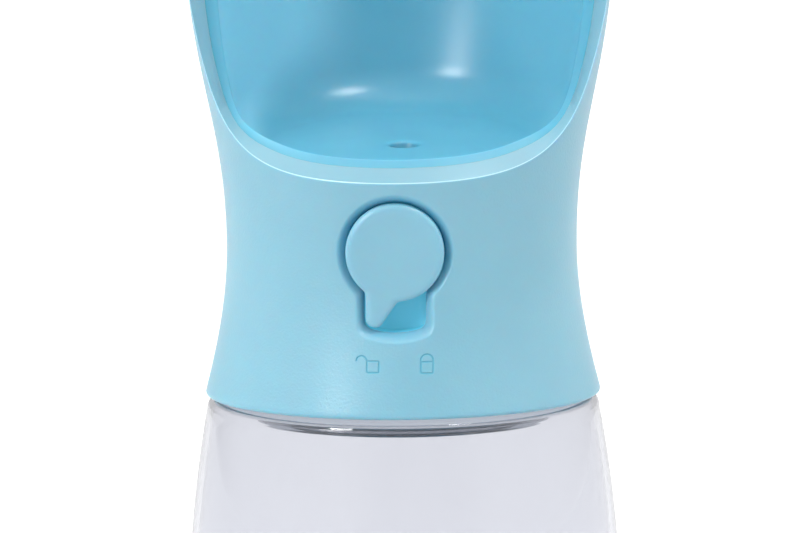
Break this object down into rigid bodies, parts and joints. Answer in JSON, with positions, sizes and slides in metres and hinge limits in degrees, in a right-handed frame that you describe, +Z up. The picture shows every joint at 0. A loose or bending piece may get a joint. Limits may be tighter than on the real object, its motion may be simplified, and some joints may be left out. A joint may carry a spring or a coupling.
{
  "type": "dog travel water bottle",
  "caption": "Clear travel bottle with a screw-on scoop-shaped drinking trough; a push button with a turning lock pointer lets water into the trough.",
  "frame": {"origin": "centre of the bottle's foot, on the surface it stands on", "axes": "+Z up along the bottle's axis; -Y is the front, the side with the button and the trough's low lip; +X is on the right when looking along +Y at the front"},
  "size_m": [0.0724, 0.0724, 0.218],
  "materials": {
    "clear_plastic": "clear, polished",
    "shell_plastic": "fine satin texture, pale blue",
    "liner_plastic": "glossy, mid blue",
    "inner_plastic": "moulded, blue",
    "stem_plastic": "moulded, off-white",
    "silicone": "translucent white silicone",
    "steel": "stainless"
  },
  "bodies": {
    "bottle": {"bottle": "clear_plastic"},
    "neck_seal": {"neck_gasket": "silicone"},
    "head": {"head_shell": "shell_plastic", "trough_liner": "liner_plastic", "thread_insert": "inner_plastic", "valve_housing": "inner_plastic", "inlet_seal": "silicone", "outlet_seal": "silicone", "housing_screws": "steel", "end_cap": "inner_plastic", "end_cap_seal": "silicone", "lock_ring": "inner_plastic", "return_spring": "steel"},
    "plunger": {"valve_stem": "stem_plastic", "stem_seal": "silicone", "valve_plug": "silicone"},
    "button": {"button_cap": "shell_plastic"}
  },
  "joints": [
    {"name": "head_lift", "type": "slide", "parent": "bottle", "child": "neck_seal", "axis": [0, 0, 1], "range_m": [0, 0.02]},
    {"name": "head_unscrew", "type": "hinge", "parent": "neck_seal", "child": "head", "pos_m": [0, 0, 0.098], "axis": [0, 0, 1], "range_deg": [0, 1800]},
    {"name": "button_press", "type": "slide", "parent": "head", "child": "plunger", "axis": [0, 1, 0], "range_m": [0, 0.0025], "stiffness_N_per_m": 600, "springref_m": -0.004, "deforming": ["return_spring"]},
    {"name": "lock_turn", "type": "hinge", "parent": "plunger", "child": "button", "pos_m": [0, -0.029, 0.1203], "axis": [0, -1, 0], "range_deg": [0, 34.5]}
  ],
  "couplings": [
    {"joint": "head_unscrew", "follows": "head_lift", "rad_per_m": 1570.8}
  ]
}
